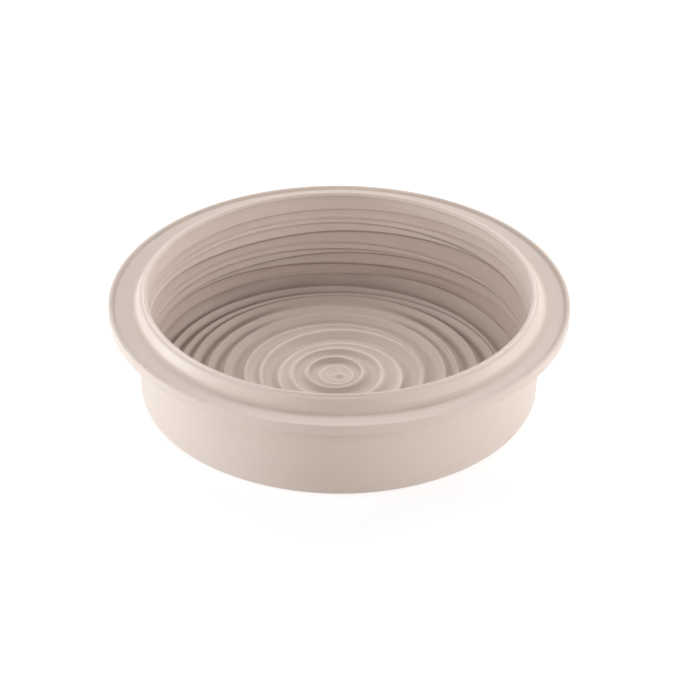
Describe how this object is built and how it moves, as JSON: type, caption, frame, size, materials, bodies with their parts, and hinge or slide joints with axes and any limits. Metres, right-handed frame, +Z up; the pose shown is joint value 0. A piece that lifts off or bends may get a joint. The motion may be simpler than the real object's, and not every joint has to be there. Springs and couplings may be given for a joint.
{
  "type": "silicone cake mould",
  "caption": "Round silicone baking mould: a straight-walled cavity with uneven ripple rings on floor and wall, a raised collar at the opening and a flat beaded flange around it.",
  "frame": {"origin": "middle of the flat underside", "axes": "+Z up along the mould's axis, out of the opening; -Y towards the viewer of the picture, +X to the right"},
  "size_m": [0.2182, 0.2182, 0.052],
  "materials": {
    "silicone": "satin taupe silicone"
  },
  "bodies": {
    "root": {"floor_disc": "silicone", "base_corner": "silicone", "side_wall": "silicone", "rim_flange": "silicone", "edge_bead": "silicone", "rim_collar": "silicone"}
  },
  "joints": []
}
